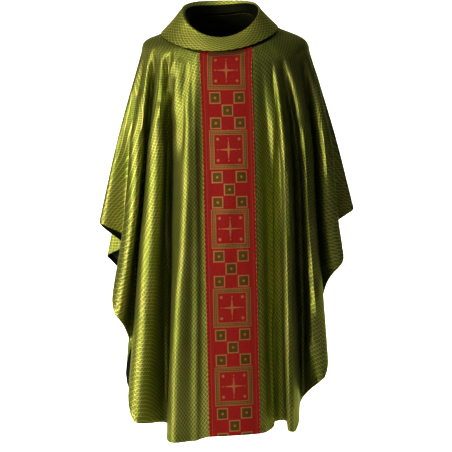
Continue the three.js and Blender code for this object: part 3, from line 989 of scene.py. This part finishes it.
def brocade_material(name, cell, greens, golds, painted_shade_length=0.0):
    """The brocade, with painted shade in near black on its inner side and down a given length in metres from
    the seam.
    """
    material, g, shader, flat = cloth_material(name)
    pattern = placed_group(g, lattice, flat, Cell_Width=cell[0], Cell_Height=cell[1])
    threads = placed_group(g, weave, flat)
    green = g.mix(g.ramp(threads["Tone"], *TONE_SPREAD), *greens)
    gold = g.mix(g.ramp(g.noise(flat, PATCH_SCALE, PATCH_DETAIL), *TONE_SPREAD), *golds)
    # Painted shade: the inner side, and the collar's stand down to the given length, are turned near black.
    inner_side = g.node("ShaderNodeAttribute", attribute_name="inner side").outputs["Fac"]
    in_painted_shade = g.math("GREATER_THAN", inner_side, 0.5)
    if painted_shade_length:
        stand_in_painted_shade = g.inside(g.split(flat)[1], painted_shade_length, PAINTED_SHADE_EDGE)
        in_painted_shade = g.math("MAXIMUM", in_painted_shade, stand_in_painted_shade)
    cloth_colour = g.mix(pattern["Gold"], green, gold)
    g.feed(shader.inputs["Base Color"], g.mix(in_painted_shade, cloth_colour, PAINTED_SHADE))
    g.feed(shader.inputs["Metallic"], g.ramp(pattern["Gold"], 0.0, 1.0, *METAL))
    height = g.math("ADD", pattern["Height"], g.math("MULTIPLY", threads["Height"], WEAVE_SHARE))
    g.feed(shader.inputs["Normal"], g.bump(height, BROCADE_RELIEF))
    shader.inputs["Roughness"].default_value = BROCADE_ROUGHNESS
    shader.inputs["Specular Tint"].default_value = EDGE_TINT
    shader.inputs["Sheen Weight"].default_value = BROCADE_SHEEN
    shader.inputs["Sheen Roughness"].default_value = SHEEN_ROUGHNESS
    shader.inputs["Sheen Tint"].default_value = SHEEN_TINT
    return material


# %% Brocade on the panels and the collar
brocade = brocade_material("green and gold brocade", PANEL_CELL, PANEL_GREENS, PANEL_GOLDS)
for panel in (front_panel, back_panel):
    panel.data.materials.append(brocade)
# The collar's stand is painted in shade down to this length from its seam.
STAND_LENGTH = float(collar_down[COLLAR_STEPS // 3].mean())
lighter_painted_collar_brocade = brocade_material(
    "collar brocade painted lighter", COLLAR_CELL, COLLAR_GREENS_PAINTED_LIGHTER, COLLAR_GOLDS_PAINTED_LIGHTER, painted_shade_length=STAND_LENGTH
)
collar.data.materials.append(lighter_painted_collar_brocade)
print("the collar's stand is painted in shade down to", round(STAND_LENGTH, 3), "m from its seam")

# %% [markdown]
# ## Lining cloth
# A soft, dark blue-grey lining with a dull surface. One colour would do at a distance, but a lining is
# never quite even, so two close tones are mixed by the same thread noise as in the brocade.

# %% Lining material
LINING_THREAD = 0.0006
LINING_TONES = ((0.018, 0.026, 0.03, 1), (0.035, 0.048, 0.055, 1))
LINING_SPREAD = (0.3, 0.7)
LINING_RELIEF = 0.0002
LINING_ROUGHNESS = 0.6
LINING_SHEEN = 0.2


def lining_material():
    material, g, shader, flat = cloth_material("dark lining")
    threads = placed_group(g, weave, flat, Thread=LINING_THREAD)
    g.feed(shader.inputs["Base Color"], g.mix(g.ramp(threads["Tone"], *LINING_SPREAD), *LINING_TONES))
    g.feed(shader.inputs["Normal"], g.bump(threads["Height"], LINING_RELIEF))
    shader.inputs["Roughness"].default_value = LINING_ROUGHNESS
    shader.inputs["Sheen Weight"].default_value = LINING_SHEEN
    return material


lining = lining_material()
for piece in (front_lining, back_lining):
    piece.data.materials.append(lining)
print("lining material:", lining.name)

# %% [markdown]
# ## The woven figures of the orphrey
# The band repeats a gold frame with a small cross and four dots, and then three rows of chequers. They
# could be thin pieces laid on the band, but real ones are woven in and have no height. Every figure is
# a distance in the flat band, so each can be drawn by a comparison of two lengths.

# %% Orphrey sizes, in metres
REPEAT = 0.2267
FIRST_FRAME_TOP = 0.0615
FRAME_HALF_WIDTH = 0.0545
FRAME_HALF_HEIGHT = 0.0565
FRAME_BORDER = 0.0145
SOFT_EDGE = 0.0006

# %% Gold frame
RIM_INSET = 0.0012
RIM_HALF_WIDTH = 0.0011
CHAIN_PITCH = 0.0042
CHAIN_HALF_WIDTH = 0.0042
CHAIN_SPREAD = (0.25, 0.6)


def frame_masks(g, x, y, side, level):
    """The frame's border, and its lighter parts: two rims with a chain of squares between them."""
    past_side = g.math("SUBTRACT", side, FRAME_HALF_WIDTH)
    past_level = g.math("SUBTRACT", level, FRAME_HALF_HEIGHT)
    depth = g.math("MULTIPLY", g.math("MAXIMUM", past_side, past_level), -1.0)
    from_middle = g.distance(depth, FRAME_BORDER / 2)
    border = g.inside(from_middle, FRAME_BORDER / 2, SOFT_EDGE)
    rims = g.inside(g.distance(from_middle, FRAME_BORDER / 2 - RIM_INSET), RIM_HALF_WIDTH, SOFT_EDGE)
    waves = [g.math("SINE", g.math("MULTIPLY", axis, math.pi / CHAIN_PITCH)) for axis in (x, y)]
    squares = g.ramp(g.math("ABSOLUTE", g.math("MULTIPLY", *waves)), *CHAIN_SPREAD)
    chain = g.math("MULTIPLY", squares, g.inside(from_middle, CHAIN_HALF_WIDTH, SOFT_EDGE))
    return border, g.math("MULTIPLY", border, g.math("MAXIMUM", rims, chain))


# %% Cross and dots
ARM_HALF_WIDTH = 0.0034
ARM_TAPER = 0.1
ARM_LENGTH = 0.027
ARM_SIDE_SOFTNESS = 0.0005
ARM_END_SOFTNESS = 0.0008
DOTS = ((0.0305, 0.0305, 0.0042), (0.0, 0.0315, 0.002), (0.0315, 0.0, 0.002))
DOT_SOFTNESS = 0.0007


def cross_mask(g, side, level):
    """A cross with pointed arms, a dot at each corner and a small one past each arm."""
    reach = g.math("MAXIMUM", side, level)
    lean = g.math("MINIMUM", side, level)
    arm = g.math("SUBTRACT", ARM_HALF_WIDTH, g.math("MULTIPLY", reach, ARM_TAPER))
    arm_sides = g.inside(lean, arm, ARM_SIDE_SOFTNESS)
    figures = g.math("MULTIPLY", arm_sides, g.inside(reach, ARM_LENGTH, ARM_END_SOFTNESS))
    for dot_side, dot_level, radius in DOTS:
        away = (g.math("SUBTRACT", side, dot_side), g.math("SUBTRACT", level, dot_level))
        square = g.math("ADD", *[g.math("POWER", leg, 2.0) for leg in away])
        dot = g.inside(g.math("SQRT", square), radius, DOT_SOFTNESS)
        figures = g.math("MAXIMUM", figures, dot)
    return figures


# %% Chequers
CHECKS = 3
CHECK = 0.0346
CHECK_GAP = 0.0015
CHECK_START = 0.004
CHECK_INSET = 0.001
CHECK_RIM = (0.0052, 0.0040)
CHECK_DOT_RADIUS = 0.0036
CHECK_DOT_SOFTNESS = 0.001


def check_masks(g, x, place):
    """Three rows of gold squares, every other one left out, and their lighter rims and dots."""
    row_place = g.math("SUBTRACT", place, 2 * FRAME_HALF_HEIGHT + CHECK_START)
    row = g.math("DIVIDE", row_place, CHECK + CHECK_GAP)
    column = g.math("DIVIDE", g.math("ADD", x, CHECK * CHECKS / 2), CHECK)
    count = g.math("ADD", g.math("FLOOR", row), g.math("FLOOR", column))
    half_left_over = g.math("FRACT", g.math("MULTIPLY", count, 0.5))
    check = g.math("LESS_THAN", half_left_over, 0.25)
    for axis in (row, column):
        in_reach = g.math("MULTIPLY", g.math("GREATER_THAN", axis, 0.0), g.math("LESS_THAN", axis, CHECKS))
        check = g.math("MULTIPLY", check, in_reach)
    away = [g.math("MULTIPLY", g.distance(g.math("FRACT", axis), 0.5), CHECK) for axis in (row, column)]
    farthest = g.math("MAXIMUM", *away)
    fill = g.math("MULTIPLY", check, g.inside(farthest, CHECK / 2 - CHECK_INSET, SOFT_EDGE))
    rim_from, rim_to = (CHECK / 2 - part for part in CHECK_RIM)
    rim = g.math("MULTIPLY", fill, g.ramp(farthest, rim_from, rim_to))
    from_middle = g.math("SQRT", g.math("ADD", *[g.math("POWER", leg, 2.0) for leg in away]))
    dot = g.math("MULTIPLY", check, g.inside(from_middle, CHECK_DOT_RADIUS, CHECK_DOT_SOFTNESS))
    return fill, g.math("MAXIMUM", rim, dot)


# %% Selvedge stripes
STRIPE_PLACE = 0.0645
STRIPE_HALF_WIDTH = 0.0017
FINE_STRIPE_PLACE = 0.0588
FINE_STRIPE_HALF_WIDTH = 0.0006
FINE_STRIPE_STRENGTH = 0.6


def stripe_mask(g, side):
    stripe = g.inside(g.distance(side, STRIPE_PLACE), STRIPE_HALF_WIDTH, SOFT_EDGE)
    fine = g.inside(g.distance(side, FINE_STRIPE_PLACE), FINE_STRIPE_HALF_WIDTH, SOFT_EDGE)
    return g.math("MAXIMUM", stripe, g.math("MULTIPLY", fine, FINE_STRIPE_STRENGTH))


# %% All the figures in one group


def orphrey_group():
    outputs = ["Dark Gold", "Light Gold", "Stripe"]
    group, g, given, result = new_group("orphrey figures", {}, outputs)
    flat = g.split(given["Flat"])
    x = flat[0]
    side = g.math("ABSOLUTE", x)
    repeats = g.math("DIVIDE", g.math("SUBTRACT", flat[1], FIRST_FRAME_TOP), REPEAT)
    place = g.math("MULTIPLY", g.math("FRACT", repeats), REPEAT)
    y = g.math("SUBTRACT", place, FRAME_HALF_HEIGHT)
    level = g.math("ABSOLUTE", y)
    border, frame_light = frame_masks(g, x, y, side, level)
    check_fill, check_light = check_masks(g, x, place)
    figures = g.math("MAXIMUM", cross_mask(g, side, level), check_light)
    g.feed(result["Dark Gold"], g.math("MAXIMUM", border, check_fill))
    g.feed(result["Light Gold"], g.math("MAXIMUM", frame_light, figures))
    g.feed(result["Stripe"], stripe_mask(g, side))
    return group


orphrey_figures = orphrey_group()
print("figures repeat every", REPEAT, "m")

# %% Orphrey material
ORPHREY_THREAD = 0.0008
REDS = ((0.28, 0.012, 0.01, 1), (0.38, 0.018, 0.014, 1))
STRIPE_RED = (0.36, 0.05, 0.03, 1)
DARK_GOLD = (0.13, 0.075, 0.012, 1)
LIGHT_GOLD = (0.42, 0.19, 0.075, 1)
GOLD_METAL = 0.45
RED_TO_GOLD_ROUGHNESS = (0.55, 0.42)
GOLD_HEIGHT = 0.8
THREAD_HEIGHT = 0.3
ORPHREY_RELIEF = 0.0004
ORPHREY_SPECULAR = 0.18


def orphrey_material():
    """Matt red threads, with gold ones that are part metal and stand a little higher."""
    material, g, shader, flat = cloth_material("woven orphrey")
    figures = placed_group(g, orphrey_figures, flat)
    threads = placed_group(g, weave, flat, Thread=ORPHREY_THREAD)
    colour = g.mix(g.ramp(threads["Tone"], *TONE_SPREAD), *REDS)
    for mask, tone in (("Stripe", STRIPE_RED), ("Dark Gold", DARK_GOLD), ("Light Gold", LIGHT_GOLD)):
        colour = g.mix(figures[mask], colour, tone)
    g.feed(shader.inputs["Base Color"], colour)
    gold = g.math("MAXIMUM", figures["Dark Gold"], figures["Light Gold"])
    g.feed(shader.inputs["Metallic"], g.math("MULTIPLY", gold, GOLD_METAL))
    g.feed(shader.inputs["Roughness"], g.ramp(gold, 0.0, 1.0, *RED_TO_GOLD_ROUGHNESS))
    gold_height = g.math("MULTIPLY", gold, GOLD_HEIGHT)
    height = g.math("ADD", gold_height, g.math("MULTIPLY", threads["Height"], THREAD_HEIGHT))
    g.feed(shader.inputs["Normal"], g.bump(height, ORPHREY_RELIEF))
    shader.inputs["Specular IOR Level"].default_value = ORPHREY_SPECULAR
    return material


orphrey.data.materials.append(orphrey_material())
print("orphrey material:", orphrey.data.materials[0].name)

# %% [markdown]
# ## Gold thread of the picots
# Old gold thread, browner than the lattice. The beads have no flat cut, so a fine noise on their own
# coordinates stands for the wound strands, both in colour and as relief.

# %% Picot thread
STRAND_SCALE = 900.0
STRAND_DETAIL = 2.0
STRAND_TONES = ((0.3, 0.08, 0.02, 1), (0.5, 0.28, 0.07, 1))
STRAND_RELIEF = 0.0003
STRAND_METAL = 0.6
STRAND_ROUGHNESS = 0.4


def picot_material():
    material = bpy.data.materials.new("gold picot thread")
    material.use_nodes = True
    g = Graph(material.node_tree)
    shader = material.node_tree.nodes["Principled BSDF"]
    place = g.node("ShaderNodeTexCoord").outputs["Object"]
    strands = g.noise(place, STRAND_SCALE, STRAND_DETAIL)
    g.feed(shader.inputs["Base Color"], g.mix(g.ramp(strands, *TONE_SPREAD), *STRAND_TONES))
    g.feed(shader.inputs["Normal"], g.bump(strands, STRAND_RELIEF))
    shader.inputs["Metallic"].default_value = STRAND_METAL
    shader.inputs["Roughness"].default_value = STRAND_ROUGHNESS
    return material


picot.data.materials.append(picot_material())
print("picot material:", picot.data.materials[0].name)

# %% [markdown]
# ## Standing for the solids
# Each cloth takes the place of its plain solid and rides on the one body, and its row lists what it was
# cut from. The width and the length are what a full chasuble's cut measures. No cut but the band's is a
# rectangle, so the last value of each row is the part of that rectangle which the cloth made here covers.

# %% Put every piece on the body and hide its solid
PANEL_CUT = (1.5, 1.4)
COLLAR_CUT = (0.8, 0.15)
BAND_CUT = (BAND_WIDTH * MM, BAND_LENGTH)
LINING_CUT = (1.5, 1.1)
PIECES = {
    "front_panel": (front_panel, "brocade", PANEL_CUT, "hung", 0.7),
    "back_panel": (back_panel, "brocade", PANEL_CUT, "hung", 0.6),
    "collar": (collar, "brocade", COLLAR_CUT, "folded", 0.75),
    "front_orphrey": (orphrey, "orphrey", BAND_CUT, "hung", 1.0),
    "front_lining": (front_lining, "lining", LINING_CUT, "hung", 0.8),
    "back_lining": (back_lining, "lining", LINING_CUT, "hung", 0.65),
}
for node, (piece, slot, flat_size, held, part_cut) in PIECES.items():
    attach(piece, "root")
    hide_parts(node)
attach(picot, "root")
print("pieces:", ", ".join(sorted(piece.name for piece, *_ in PIECES.values())))
